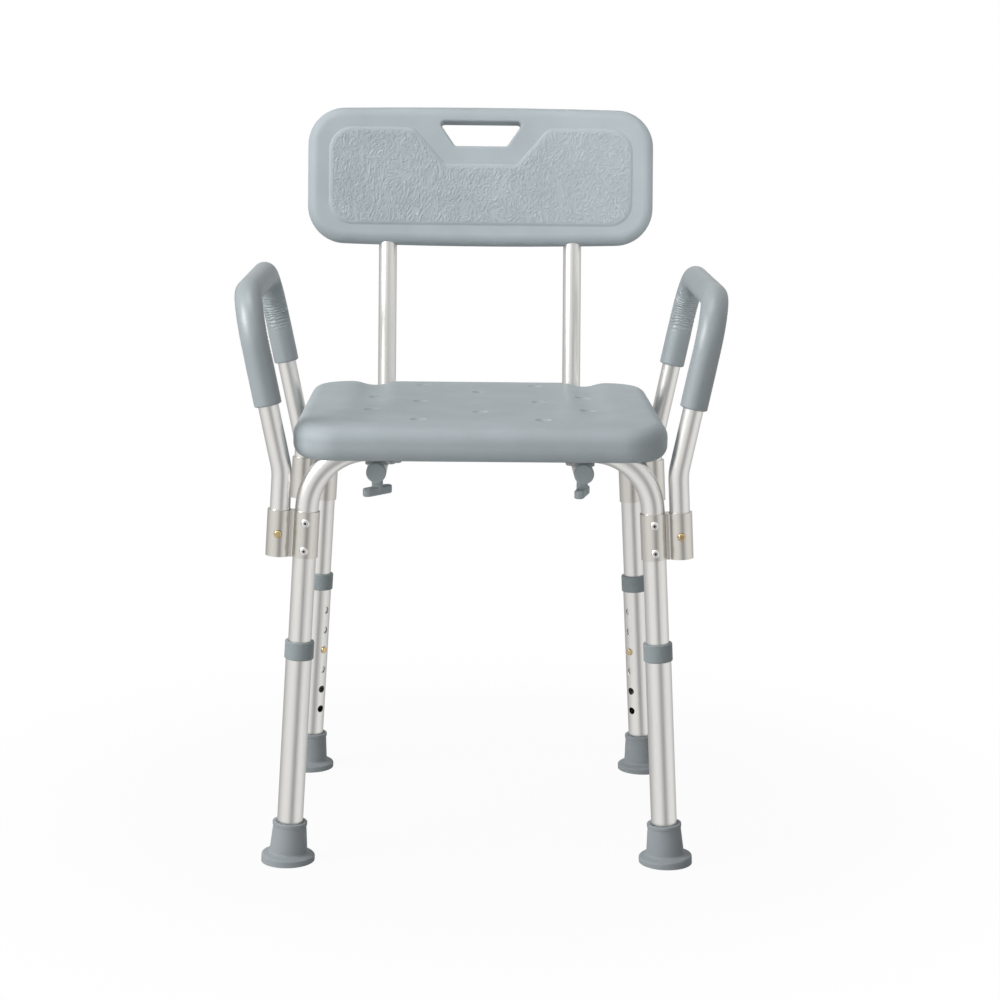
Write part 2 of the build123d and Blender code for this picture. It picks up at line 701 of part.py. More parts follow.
# Backrest: a moulded shell with a hand slot and a raised panel, pushed onto the posts
with BuildPart() as backrest:
    half_width = back_width / 2
    half_height = back_height / 2
    with BuildSketch(back_plane) as outline:
        with BuildLine():
            low = half_height - back_crown_bottom
            high = half_height - back_crown_top
            ThreePointArc((-half_width, -low), (0, -half_height), (half_width, -low))
            Line((half_width, -low), (half_width, high))
            ThreePointArc((half_width, high), (0, half_height), (-half_width, high))
            Line((-half_width, high), (-half_width, -low))
        make_face()
        fillet(outline.vertices(), radius=back_corner_radius)
    extrude(amount=back_thickness / 2, both=True)
    faces = backrest.faces().sort_by(back_axis)
    fillet(faces[0].edges() + faces[-1].edges(), radius=back_round)
    # Raised panel with a notch under the hand slot
    half_panel = panel_width / 2
    panel_top = panel_height / 2 - panel_drop
    panel_bottom = panel_top - panel_height
    border = [
        ((half_panel, panel_bottom), panel_corner),
        ((half_panel, panel_top), panel_corner),
        ((notch_top / 2, panel_top), notch_crest),
        ((notch_bottom / 2, panel_top - notch_height), notch_round),
        ((-notch_bottom / 2, panel_top - notch_height), notch_round),
        ((-notch_top / 2, panel_top), notch_crest),
        ((-half_panel, panel_top), panel_corner),
        ((-half_panel, panel_bottom), panel_corner),
    ]
    with BuildSketch(back_plane.offset(back_thickness / 2)):
        with BuildLine():
            FilletPolyline([point for point, _ in border], radius=[r for _, r in border], close=True)
        make_face()
    extrude(amount=panel_rise, taper=panel_slope)
    # Hand slot
    slot_top = half_height - handle_rim
    with BuildSketch(back_plane.offset(-back_thickness / 2)) as slot:
        with BuildLine():
            Polyline(
                (-handle_top / 2, slot_top),
                (-handle_bottom / 2, slot_top - handle_height),
                (handle_bottom / 2, slot_top - handle_height),
                (handle_top / 2, slot_top),
                close=True,
            )
        make_face()
        fillet(slot.vertices(), radius=handle_corner)
    extrude(amount=back_thickness, mode=Mode.SUBTRACT)
    slot_rims = backrest.edges(Select.LAST).group_by(back_axis)
    fillet(slot_rims[0] + slot_rims[-1], radius=handle_round)
    # Sockets for the posts
    post_foot = back_middle - back_rise * half_height
    with BuildSketch(Plane(post_foot, x_dir=(1, 0, 0), z_dir=back_rise)):
        with Locations((-back_spread / 2, 0), (back_spread / 2, 0)):
            Circle(back_od / 2 + fit)
    extrude(amount=socket_depth + fit, mode=Mode.SUBTRACT)
    with BuildSketch(back_plane.offset(-back_thickness / 2)):
        with Locations(*[(sign * back_spread / 2, back_screw_rise - half_height) for sign in (-1, 1)]):
            Circle(back_screw_od / 2 + fit)
    extrude(amount=back_thickness / 2, mode=Mode.SUBTRACT)
    # The hollow between the skins, closed round the posts and the hand slot
    with BuildSketch(back_plane.offset(back_skin - back_thickness / 2)):
        Rectangle(back_width - 2 * back_corner_radius, back_height - 2 * back_round)
        with Locations((-back_spread / 2, 0), (back_spread / 2, 0)):
            Rectangle(back_od + 2 * back_skin, back_height, mode=Mode.SUBTRACT)
        with Locations((0, half_height)):
            slot_reach = handle_rim + handle_height + handle_round + back_skin
            Rectangle(notch_top, 2 * slot_reach, mode=Mode.SUBTRACT)
    extrude(amount=back_thickness - 2 * back_skin, mode=Mode.SUBTRACT)
save(backrest, "backrest")

with BuildPart() as back_screws:
    head_plane = back_plane.offset(-back_thickness / 2)
    places = [(sign * back_spread / 2, back_screw_rise - back_height / 2) for sign in (-1, 1)]
    with BuildSketch(head_plane):
        with Locations(*places):
            Circle(back_screw_head_od / 2)
    extrude(amount=-back_screw_head)
    with BuildSketch(head_plane):
        with Locations(*places):
            Circle(back_screw_od / 2)
    extrude(amount=(back_thickness - back_od) / 2 + back_screw_bite)
    circles = back_screws.edges().filter_by(GeomType.CIRCLE)
    fillet(circles.group_by(back_axis)[0], radius=screw_head_round)
save(back_screws, "backrest_screws")
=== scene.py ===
import json
import math

import bpy
from mathutils import Matrix, Vector, noise


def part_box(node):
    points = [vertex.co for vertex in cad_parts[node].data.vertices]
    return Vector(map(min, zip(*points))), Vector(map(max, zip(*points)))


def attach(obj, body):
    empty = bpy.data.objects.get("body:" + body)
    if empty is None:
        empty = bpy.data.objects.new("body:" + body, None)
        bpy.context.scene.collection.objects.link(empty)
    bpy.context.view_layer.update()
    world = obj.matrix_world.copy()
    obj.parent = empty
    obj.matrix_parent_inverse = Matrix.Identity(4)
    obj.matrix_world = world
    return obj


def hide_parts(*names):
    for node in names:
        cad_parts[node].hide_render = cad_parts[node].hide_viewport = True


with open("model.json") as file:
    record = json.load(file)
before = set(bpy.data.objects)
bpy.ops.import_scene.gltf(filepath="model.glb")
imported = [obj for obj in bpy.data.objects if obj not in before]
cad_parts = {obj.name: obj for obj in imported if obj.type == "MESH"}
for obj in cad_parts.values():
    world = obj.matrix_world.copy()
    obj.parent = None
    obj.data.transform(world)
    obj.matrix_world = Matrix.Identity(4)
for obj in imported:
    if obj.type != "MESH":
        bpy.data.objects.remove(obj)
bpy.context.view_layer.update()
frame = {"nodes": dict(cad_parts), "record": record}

# A shower chair in grey moulded plastic and satin tube, on a white studio floor.
# Lengths are metres, in the frame of the CAD model: +Z up, the chair's front towards -Y.

MM = 0.001

# Camera, as the photograph sees the chair
CAMERA_PLACE = Vector((-0.0176, -2.5836, 0.8391))
CAMERA_YAW = math.radians(0.940)
CAMERA_PITCH = math.radians(10.33)
CAMERA_ROLL = math.radians(0.63)
CAMERA_FOCAL_PIXELS = 2234.0
IMAGE_PIXELS = 1000.0
SENSOR_MM = 36.0

# Colours, as the surfaces reflect light, written as sRGB bytes
SEAT_GREY = (168, 177, 181)
GRIP_GREY = (148, 157, 161)
TRIM_GREY = (142, 151, 154)
# The knobs' grey is the trim's grey painted lighter, standing in for light in the shade under the
# seat
KNOB_SHADE_LIFTED_GREY = (174, 183, 185)
FOOT_GREY = (150, 156, 160)
TUBE_SILVER = (226, 225, 222)
BRACKET_SILVER = (212, 209, 203)
BRASS_YELLOW = (208, 184, 138)
RIVET_SILVER = (232, 232, 230)
SCREW_GREY = (150, 152, 155)
FLOOR_BOUNCE = (190, 190, 190)  # what the floor throws back; the camera sees it white

# Surround, in linear light. AMBIENT lights the chair. MIRRORED is what the metal shows round the
# compass: a share of the turn, from behind the chair by its left, the camera's side and its right,
# with the brightness there. OVERHEAD comes in as the mirrored direction climbs from low to high.
WHITE = (1.0, 1.0, 1.0, 1.0)
AMBIENT = (0.25, 0.25, 0.25, 1.0)
MIRRORED = (
    (0.00, 0.42), (0.13, 0.50), (0.24, 0.78), (0.34, 0.94), (0.44, 0.92), (0.49, 0.66), (0.525, 0.36),
    (0.565, 0.36), (0.60, 0.72), (0.66, 0.96), (0.76, 0.94), (0.88, 0.56), (1.00, 0.42),
)
MIRRORED_GAIN = 1.05
OVERHEAD = (0.9, 0.9, 0.9, 1.0)
OVERHEAD_LOW = 0.17
OVERHEAD_HIGH = 0.32

# Floor, with a faint shade near the chair that fades out between two distances
FLOOR_HALF = 30.0
FLOOR_ROUGHNESS = 0.9
FLOOR_SHADE_NEAR = 0.3
FLOOR_SHADE_FAR = 0.8
FLOOR_SHADE = 0.05

# Lamps: place, target, width, watts, whether the metal mirrors it and how far its beam fans out.
# The narrow back light reaches the right half of the backrest and stays off the seat.
CHAIR_MIDDLE = (0.0, 0.0, 0.5)
BACK_RIGHT = (0.15, 0.22, 0.75)
OPEN_BEAM = math.pi
BACK_BEAM = math.radians(60.0)
LAMPS = {
    "key_light": ((-2.6, -1.26, 2.2), CHAIR_MIDDLE, 1.8, 76.0, True, OPEN_BEAM),
    "front_light": ((-1.8, -2.7, 1.2), CHAIR_MIDDLE, 1.6, 28.0, False, OPEN_BEAM),
    "top_light": ((-0.4, -0.2, 3.0), CHAIR_MIDDLE, 1.4, 15.0, True, OPEN_BEAM),
    "rear_light": ((1.4, 2.6, 0.9), CHAIR_MIDDLE, 1.6, 20.0, False, OPEN_BEAM),
    "back_light": ((0.6, -0.3, 0.85), BACK_RIGHT, 0.3, 0.27, False, BACK_BEAM),
}

# Backrest panel, as in the CAD source
BACK_RECLINE = math.radians(10.2)
BACK_THICKNESS = 32.0 * MM
PANEL_RISE = 1.5 * MM
PANEL_WIDTH = 372.0 * MM
PANEL_HEIGHT = 118.0 * MM
PANEL_DROP = 1.3 * MM
PANEL_CORNER = 28.0 * MM
NOTCH_TOP = 166.0 * MM
NOTCH_BOTTOM = 89.0 * MM
NOTCH_HEIGHT = 45.0 * MM
NOTCH_CREST = 14.0 * MM
NOTCH_ROUND = 8.0 * MM

# Grained skin on the panel: it starts outside the panel's border, rolls over it and lies just above
# the panel, and its grain starts a little inside
SKIN_STEP = 0.75 * MM
SKIN_SPILL = 1.9 * MM
SKIN_CLIMB = 4.0 * MM
SKIN_SINK = 0.06 * MM
SKIN_LIFT = 0.08 * MM
GRAIN_EDGE = 2.0 * MM
GRAIN_MARGIN = 2.5 * MM
GRAIN_CELL = 3.0 * MM
GRAIN_HEIGHT = 1.15 * MM

# Form of the grain, in cells: pebbles drawn out along a slowly turning lean, with creases between
GRAIN_WARP = 0.35
GRAIN_WARP_RATE = 0.7
GRAIN_LEAN = 0.9
GRAIN_LEAN_RATE = 0.16
GRAIN_STRETCH = 0.38
GRAIN_CREASE = 0.42
GRAIN_SWELL = 0.45
GRAIN_SWELL_RATE = 0.8
GRAIN_SWELL_PLANE = 4.0  # apart from the lean's plane, so that the two don't go together
GRAIN_SEED = 1

# Arms and their foam grips, as in the CAD source
LEG_SPLAY = math.radians(3.3)
LEG_OUT = 209.6 * MM
SOCKET_OFFSET = 28.8 * MM
SOCKET_TOP = 394.5 * MM
ARM_RISE = 229.7 * MM
ARM_OUT = {"front": 251.0 * MM, "rear": 258.0 * MM}
ARM_KINK = {"front": 42.0 * MM, "rear": 16.0 * MM}
GRIP_DROP = {"front": 115.5 * MM, "rear": 110.0 * MM}
GRIP_RADIUS = 14.9 * MM
GRIP_BORE = 11.15 * MM
GRIP_BEND = 55.0 * MM
GRIP_ROUND = 2.0 * MM
GRIP_STEP = 0.7 * MM
GRIP_SIDES = 96
BORE_STRIDE = 8  # rings of the skin to one of the bore

# Wrinkles on the inner side of each bend of a grip, from the bend on into the upright
WRINKLE_PITCH = 4.0 * MM
WRINKLE_DEPTH = 2.3 * MM
WRINKLE_REACH = 30.0 * MM
WRINKLE_SHIFT = 20.0 * MM
WRINKLE_SPREAD = math.radians(115.0)
WRINKLE_FULL = 0.7  # shares of the reach at which the wrinkles start to fade and end
WRINKLE_END = 1.5
WRINKLE_BROAD = 0.5  # share of the spread at which they start to fade
WRINKLE_SHARP = 0.7  # below 1 the creases are broad, above it narrow
WANDER = 2.2  # how far the creases stray, in radians of their wave
WANDER_RATE = (90.0, 1.6)  # per metre along the grip and per radian round it
UNEVEN_MEAN = 0.6  # depth of the creases, as a share, and how much it varies
UNEVEN_SWING = 0.55
UNEVEN_RATE = (160.0, 2.4)
UNEVEN_SEED = 7.0
GRIP_SEEDS = {"left": 3.0, "right": 11.0}  # so that the two grips differ

# Moulded surfaces: clouding of the colour, and a pebble grain with finer dust in it
CLOUD_RATE = 22.0
CLOUD_DETAIL = 3.0
CLOUD_BAND = (0.3, 0.7)
CLOUD_SHADES = (0.955, 1.045)
DUST_RATE = 2.3  # dust grains to a pebble
PEBBLE_STRENGTH = 0.6
MOULDED_GLOSS = 0.06

# Satin metal: streaks along the tube and clouded gloss
STREAK_SCALE = (260.0, 260.0, 5.0)
STREAK_RATE = 12.0
STREAK_DETAIL = 4.0
STREAK_BAND = (0.25, 0.75)
STREAK_SHADES = (0.93, 1.04)
STREAK_DEPTH = 0.004 * MM
STREAK_STRENGTH = 0.5
GLOSS_RATE = 35.0
SATIN_GLOSS = 0.05

# Plated metal: tumbling marks
MARK_RATE = 900.0
MARK_DETAIL = 3.0
MARK_BAND = (0.3, 0.7)
MARK_SHADES = (0.9, 1.05)
MARK_GLOSS = (-0.05, 0.08)
MARK_DEPTH = 0.02 * MM
MARK_STRENGTH = 0.4

# Mouldings: colour, roughness, pebbles per metre, their depth and how strongly the surface mirrors
MOULDINGS = {
    "seat_plastic": (SEAT_GREY, 0.52, 900.0, 0.10 * MM, 0.25),
    "trim_plastic": (TRIM_GREY, 0.5, 1500.0, 0.05 * MM, 0.4),
    # The trim painted lighter for the knobs and caps, as painted light against the shade under the
    # seat
    "trim_painted_lighter": (KNOB_SHADE_LIFTED_GREY, 0.5, 1500.0, 0.05 * MM, 0.4),
    "foot_rubber": (FOOT_GREY, 0.66, 1300.0, 0.07 * MM, 0.3),
    "grip_foam": (GRIP_GREY, 0.38, 1600.0, 0.05 * MM, 1.0),
}

# Metals: colour and roughness
SATIN_METALS = {
    "tube_metal": (TUBE_SILVER, 0.33),
    "bracket_metal": (BRACKET_SILVER, 0.3),
}
BRIGHT_METALS = {
    "button_brass": (BRASS_YELLOW, 0.09),
    "rivet_metal": (RIVET_SILVER, 0.2),
    "screw_steel": (SCREW_GREY, 0.32),
}


def linear(rgb):
    """An sRGB byte colour as linear red, green, blue and alpha."""
    channels = []
    for byte in rgb:
        share = byte / 255.0
        channels.append(share / 12.92 if share <= 0.04045 else ((share + 0.055) / 1.055) ** 2.4)
    return (*channels, 1.0)


def shade(rgb, factor):
    """A linear colour made lighter or darker."""
    return (*[min(1.0, channel * factor) for channel in linear(rgb)[:3]], 1.0)


def smooth_step(low, high, value):
    """0 below low, 1 above high and a smooth climb between."""
    share = min(1.0, max(0.0, (value - low) / (high - low)))
    return share * share * (3.0 - 2.0 * share)


# Materials


def add_node(tree, kind, inputs=None, **settings):
    """A new shader node, with its settings and its input values or links."""
    node = tree.nodes.new(kind)
    for name, value in settings.items():
        setattr(node, name, value)
    for name, value in (inputs or {}).items():
        if isinstance(value, bpy.types.NodeSocket):
            tree.links.new(value, node.inputs[name])
        else:
            node.inputs[name].default_value = value
    return node


def start_material(name):
    """A new material with its node tree, its shader and the coordinates of its object."""
    material = bpy.data.materials.new(name)
    material.use_nodes = True
    tree = material.node_tree
    place = add_node(tree, "ShaderNodeTexCoord").outputs["Object"]
    return material, tree, tree.nodes["Principled BSDF"], place


def ramp(tree, factor, band, rgb, shades):
    """A colour that goes from one shade to another as the factor climbs through a band."""
    node = add_node(tree, "ShaderNodeValToRGB", {"Fac": factor})
    for stop, position, level in zip(node.color_ramp.elements, band, shades):
        stop.position = position
        stop.color = shade(rgb, level)
    return node.outputs["Color"]


def spread(tree, factor, low, high):
    """A factor spread from 0 to 1 onto low to high."""
    node = add_node(tree, "ShaderNodeMapRange", {"Value": factor, "To Min": low, "To Max": high})
    return node.outputs["Result"]


def noise_at(tree, place, scale, detail=2.0):
    """A noise factor at a number of bumps per metre."""
    inputs = {"Vector": place, "Scale": scale, "Detail": detail}
    return add_node(tree, "ShaderNodeTexNoise", inputs).outputs["Fac"]


def add_bump(tree, shader, height, distance, strength):
    """Lets a height raise the surface."""
    inputs = {"Height": height, "Distance": distance, "Strength": strength}
    bump = add_node(tree, "ShaderNodeBump", inputs)
    tree.links.new(bump.outputs["Normal"], shader.inputs["Normal"])


def moulded(name, rgb, roughness, grain_per_metre, grain_depth, specular):
    """Moulded plastic or rubber: a slightly clouded colour under a fine pebble grain."""
    material, tree, shader, place = start_material(name)
    cloud = noise_at(tree, place, CLOUD_RATE, CLOUD_DETAIL)
    colour = ramp(tree, cloud, CLOUD_BAND, rgb, CLOUD_SHADES)
    tree.links.new(colour, shader.inputs["Base Color"])
    pebble_inputs = {"Vector": place, "Scale": grain_per_metre}
    pebbles = add_node(tree, "ShaderNodeTexVoronoi", pebble_inputs, feature="SMOOTH_F1")
    dust = noise_at(tree, place, grain_per_metre * DUST_RATE)
    height_inputs = {0: pebbles.outputs["Distance"], 1: dust}
    height = add_node(tree, "ShaderNodeMath", height_inputs, operation="ADD").outputs["Value"]
    add_bump(tree, shader, height, grain_depth, PEBBLE_STRENGTH)
    gloss = spread(tree, dust, roughness - MOULDED_GLOSS, roughness + MOULDED_GLOSS)
    tree.links.new(gloss, shader.inputs["Roughness"])
    shader.inputs["Specular IOR Level"].default_value = specular
    return material


def satin_metal(name, rgb, roughness):
    """Drawn and anodised metal: fine streaks along the tube, with clouded gloss."""
    material, tree, shader, place = start_material(name)
    stretched = add_node(tree, "ShaderNodeMapping", {"Vector": place, "Scale": STREAK_SCALE})
    lines = noise_at(tree, stretched.outputs["Vector"], STREAK_RATE, STREAK_DETAIL)
    cloud = noise_at(tree, place, GLOSS_RATE)
    colour = ramp(tree, lines, STREAK_BAND, rgb, STREAK_SHADES)
    tree.links.new(colour, shader.inputs["Base Color"])
    gloss = spread(tree, cloud, roughness - SATIN_GLOSS, roughness + SATIN_GLOSS)
    tree.links.new(gloss, shader.inputs["Roughness"])
    add_bump(tree, shader, lines, STREAK_DEPTH, STREAK_STRENGTH)
    shader.inputs["Metallic"].default_value = 1.0
    return material


def bright_metal(name, rgb, roughness):
    """Plated metal with faint tumbling marks."""
    material, tree, shader, place = start_material(name)
    marks = noise_at(tree, place, MARK_RATE, MARK_DETAIL)
    colour = ramp(tree, marks, MARK_BAND, rgb, MARK_SHADES)
    tree.links.new(colour, shader.inputs["Base Color"])
    gloss = spread(tree, marks, roughness + MARK_GLOSS[0], roughness + MARK_GLOSS[1])
    tree.links.new(gloss, shader.inputs["Roughness"])
    add_bump(tree, shader, marks, MARK_DEPTH, MARK_STRENGTH)
    shader.inputs["Metallic"].default_value = 1.0
    return material


slot_materials = {name: moulded(name, *values) for name, values in MOULDINGS.items()}
slot_materials |= {name: satin_metal(name, *values) for name, values in SATIN_METALS.items()}
slot_materials |= {name: bright_metal(name, *values) for name, values in BRIGHT_METALS.items()}


def set_material(obj, material):
    """Gives an object one material."""
    obj.data.materials.clear()
    obj.data.materials.append(material)


# The knobs and the caps beside them get a lighter copy of the trim's grey: painted light that lifts
# the shade they sit in under the seat
for part in frame["record"]["subparts"]:
    node = part["node"]
    shade_lifted = node.endswith("_knob") or node == "back_tube_caps"
    slot_name = "trim_painted_lighter" if shade_lifted else part["material_slot"]
    set_material(frame["nodes"][node], slot_materials[slot_name])


def mesh_object(name, points, faces, slot, body):
    """A smooth mesh in the chair's frame that rides on a body."""
    mesh = bpy.data.meshes.new(name)
    mesh.from_pydata(points, [], faces)
    mesh.shade_smooth()
    mesh.update()
    obj = bpy.data.objects.new(name, mesh)
    bpy.context.scene.collection.objects.link(obj)
    set_material(obj, slot_materials[slot])
    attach(obj, body)
    return obj


# Foam grips


def grip_corners(side):
    """Corner points of a grip's axis: its front end, the two top corners and its rear end."""
    low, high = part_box(f"{side}_grip")
    sign = -1.0 if side == "left" else 1.0
    places = {"front": low.y + GRIP_RADIUS, "rear": high.y - GRIP_RADIUS}
    corners = {}
    for end, y in places.items():
        up = Vector((-sign * math.sin(LEG_SPLAY), 0.0, math.cos(LEG_SPLAY)))
        out = Vector((sign * math.cos(LEG_SPLAY), 0.0, math.sin(LEG_SPLAY)))
        foot = Vector((sign * LEG_OUT, y, 0.0)) + out * SOCKET_OFFSET
        kink = foot + up * (SOCKET_TOP + ARM_KINK[end])
        top = Vector((sign * ARM_OUT[end], y, SOCKET_TOP * math.cos(LEG_SPLAY) + ARM_RISE))
        corners[end] = (top + (kink - top) * (GRIP_DROP[end] / (top.z - kink.z)), top)
    return [corners["front"][0], corners["front"][1], corners["rear"][1], corners["rear"][0]]


def grip_path(side):
    """Points along a grip's axis with the directions there, and the distances of its two bends.

    The grip climbs at the front, runs back along the top and falls at the rear."""
    corners = grip_corners(side)
    stations = []

    def add_run(start, end, inner):
        """Stations along a straight run, without its last point."""
        count = max(2, round((end - start).length / GRIP_STEP))
        along = (end - start).normalized()
        for step in range(count):
            stations.append((start.lerp(end, step / count), along, inner))

    def add_bend(start, along, inner, turn):
        """Stations along an arc that turns towards its inner side."""
        centre = start + inner * GRIP_BEND
        count = round(turn * GRIP_BEND / GRIP_STEP)
        for step in range(count):
            angle = turn * step / count
            out = along * math.sin(angle) - inner * math.cos(angle)
            ahead = along * math.cos(angle) + inner * math.sin(angle)
            stations.append((centre + out * GRIP_BEND, ahead, -out))

    start = corners[0]
    bends = []
    travelled = 0.0
    for corner, following in zip(corners[1:], corners[2:]):
        along = (corner - start).normalized()
        onward = (following - corner).normalized()
        turn = along.angle(onward)
        inner = (onward - along * along.dot(onward)).normalized()
        bend_start = corner - along * GRIP_BEND * math.tan(turn / 2)
        bend_length = turn * GRIP_BEND
        travelled += (bend_start - start).length
        bends.append(travelled + bend_length / 2)
        travelled += bend_length
        add_run(start, bend_start, inner)
        add_bend(bend_start, along, inner, turn)
        start = corner + onward * GRIP_BEND * math.tan(turn / 2)
    last_along = (corners[3] - start).normalized()
    last_inner = stations[-1][2]
    last_inner = (last_inner - last_along * last_along.dot(last_inner)).normalized()
    add_run(start, corners[3], last_inner)
    stations.append((corners[3], last_along, last_inner))
    return stations, bends


def wrinkle(distance, angle, seed):
    """How far the foam is drawn in.

    The distance is from the wrinkles' middle and the angle from the inner side of the bend."""
    fade_start = WRINKLE_REACH * WRINKLE_FULL
    fade_end = WRINKLE_REACH * WRINKLE_END
    along_share = 1.0 - smooth_step(fade_start, fade_end, abs(distance))
    round_share = 1.0 - smooth_step(WRINKLE_SPREAD * WRINKLE_BROAD, WRINKLE_SPREAD, abs(angle))
    if along_share * round_share <= 0.0:
        return 0.0
    place = Vector((distance * WANDER_RATE[0], angle * WANDER_RATE[1], seed))
    wander = WANDER * noise.noise(place)
    place = Vector((distance * UNEVEN_RATE[0], angle * UNEVEN_RATE[1], seed + UNEVEN_SEED))
    uneven = UNEVEN_MEAN + UNEVEN_SWING * noise.noise(place)
    wave = abs(math.sin(math.pi * distance / WRINKLE_PITCH + wander))
    depth = WRINKLE_DEPTH * along_share * round_share * max(0.0, uneven)
    return depth * (1.0 - wave) ** WRINKLE_SHARP


def make_grip(side, seed):
    """A foam sleeve with rounded ends and wrinkles inside its bends."""
    stations, bends = grip_path(side)
    steps = [0.0]
    for (place, _, _), (following, _, _) in zip(stations, stations[1:]):
        steps.append(steps[-1] + (following - place).length)
    length = steps[-1]
    wrinkled = (bends[0] - WRINKLE_SHIFT, bends[1] + WRINKLE_SHIFT)
    turns = [2 * math.pi * index / GRIP_SIDES for index in range(GRIP_SIDES)]
    rings = []
    for (place, along, inner), step in zip(stations, steps):
        across = along.cross(inner)
        middle = min(wrinkled, key=lambda distance: abs(distance - step))
        from_end = min(step, length - step)
        inset = 0.0
        if from_end < GRIP_ROUND:
            inset = GRIP_ROUND - math.sqrt(max(0.0, GRIP_ROUND**2 - (GRIP_ROUND - from_end) ** 2))
        ring = []
        for angle in turns:
            signed = (angle + math.pi) % (2 * math.pi) - math.pi
            radius = GRIP_RADIUS - inset - wrinkle(step - middle, signed, seed)
            ring.append(place + (inner * math.cos(angle) + across * math.sin(angle)) * radius)
        rings.append(ring)
    bore_rings = []
    for place, along, inner in stations[::BORE_STRIDE] + stations[-1:]:
        across = along.cross(inner)
        spokes = [inner * math.cos(turn) + across * math.sin(turn) for turn in turns]
        bore_rings.append([place + spoke * GRIP_BORE for spoke in spokes])
    # Out along the skin and back along the bore makes one closed sleeve
    loop = rings + bore_rings[::-1]
    points = [point for ring in loop for point in ring]
    faces = []
    for row in range(len(loop)):
        following = (row + 1) % len(loop)
        for index in range(GRIP_SIDES):
            beside = (index + 1) % GRIP_SIDES
            faces.append((row * GRIP_SIDES + index, row * GRIP_SIDES + beside,
                          following * GRIP_SIDES + beside, following * GRIP_SIDES + index))
    grip = mesh_object(f"{side}_foam_grip", points, faces, "grip_foam", f"{side}_arm")
    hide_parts(f"{side}_grip")


for grip_side, grip_seed in GRIP_SEEDS.items():
    make_grip(grip_side, grip_seed)


# Grained skin on the backrest's panel


def panel_inset(u, v):
    """How far a point of the panel lies inside the panel's edge, less than 0 outside it."""
    half_width = PANEL_WIDTH / 2 - PANEL_CORNER
    half_height = PANEL_HEIGHT / 2 - PANEL_CORNER
    beyond_u = max(0.0, abs(u) - half_width)
    beyond_v = max(0.0, abs(v) - half_height)
    edge = PANEL_CORNER - math.hypot(beyond_u, beyond_v)
    if beyond_u == 0.0:
        edge = PANEL_HEIGHT / 2 - abs(v)
    if beyond_v == 0.0:
        edge = min(edge, PANEL_WIDTH / 2 - abs(u))
    # The notch under the hand slot is a trapezium that narrows downwards
    slope = (NOTCH_TOP - NOTCH_BOTTOM) / 2 / NOTCH_HEIGHT
    notch_floor = PANEL_HEIGHT / 2 - NOTCH_HEIGHT
    steep = math.hypot(1.0, slope)
    side = (abs(u) - NOTCH_BOTTOM / 2 - (v - notch_floor) * slope) / steep
    inset = min(edge, max(side, notch_floor - v))
    # Its upper corners are rounded about a point inside the panel
    crest_v = PANEL_HEIGHT / 2 - NOTCH_CREST
    crest_u = NOTCH_BOTTOM / 2 + (crest_v - notch_floor) * slope + NOTCH_CREST * steep
    over_u = abs(u) - crest_u
    over_v = v - crest_v
    if over_u < 0.0 and over_v + over_u * slope > 0.0:
        inset = min(inset, NOTCH_CREST - math.hypot(over_u, over_v))
    # Its lower corners are rounded about a point inside the notch
    root_u = abs(u) - (NOTCH_BOTTOM / 2 + NOTCH_ROUND * (slope - steep))
    root_v = v - (notch_floor + NOTCH_ROUND)
    if root_u > 0.0 and root_v + root_u * slope < 0.0:
        inset = min(edge, math.hypot(root_u, root_v) - NOTCH_ROUND)
    return inset


def grain(u, v):
    """Height of the pressed grain, from 0 in a crease to 1 on a pebble."""
    place = Vector((u, v, 0.0)) / GRAIN_CELL
    bend = noise.noise_vector(place * GRAIN_WARP_RATE) * GRAIN_WARP
    lean = math.pi / 2 + GRAIN_LEAN * noise.noise(place * GRAIN_LEAN_RATE)
    warped = place + Vector((bend.x, bend.y, 0.0))
    along = Vector((math.cos(lean), math.sin(lean), 0.0))
    warped -= along * warped.dot(along) * GRAIN_STRETCH
    distances, _ = noise.voronoi(warped)
    pebble = smooth_step(0.0, GRAIN_CREASE, distances[1] - distances[0])
    swell_place = place * GRAIN_SWELL_RATE + Vector((0.0, 0.0, GRAIN_SWELL_PLANE))
    swell = (1.0 + noise.noise(swell_place)) / 2
    return pebble * (1.0 - GRAIN_SWELL + GRAIN_SWELL * swell)


def make_panel_grain():
    """A skin on the backrest's panel that carries the grain and rolls over the panel's border."""
    low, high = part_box("backrest")
    rise = Vector((0.0, math.sin(BACK_RECLINE), math.cos(BACK_RECLINE)))
    out = Vector((0.0, -math.cos(BACK_RECLINE), math.sin(BACK_RECLINE)))
    across = Vector((1.0, 0.0, 0.0))
    middle = (low + high) / 2 + out * (BACK_THICKNESS / 2 + PANEL_RISE) - rise * PANEL_DROP
    skin_width = PANEL_WIDTH + 2 * SKIN_SPILL
    skin_height = PANEL_HEIGHT + 2 * SKIN_SPILL
    columns = round(skin_width / SKIN_STEP)
    rows = round(skin_height / SKIN_STEP)
    bottom = -PANEL_RISE - SKIN_SINK
    # Without a seed, the grain's warp would come from the clock and differ from run to run
    noise.seed_set(GRAIN_SEED)
    points = []
    index_at = {}
    for row in range(rows + 1):
        v = (row / rows - 0.5) * skin_height
        for column in range(columns + 1):
            u = (column / columns - 0.5) * skin_width
            inset = panel_inset(u, v)
            if inset < -SKIN_SPILL:
                continue
            climb = smooth_step(-SKIN_SPILL, SKIN_CLIMB - SKIN_SPILL, inset)
            share = smooth_step(GRAIN_EDGE, GRAIN_EDGE + GRAIN_MARGIN, inset)
            height = bottom + (SKIN_LIFT - bottom) * climb + share * GRAIN_HEIGHT * grain(u, v)
            index_at[column, row] = len(points)
            points.append(middle + across * u + rise * v + out * height)
    faces = []
    for (column, row), index in index_at.items():
        corners = [(column + 1, row), (column + 1, row + 1), (column, row + 1)]
        if all(corner in index_at for corner in corners):
            faces.append((index, *[index_at[corner] for corner in corners]))
    mesh_object("back_panel_grain", points, faces, "seat_plastic", "frame")


make_panel_grain()


# Studio: a white floor, a white surround and soft light


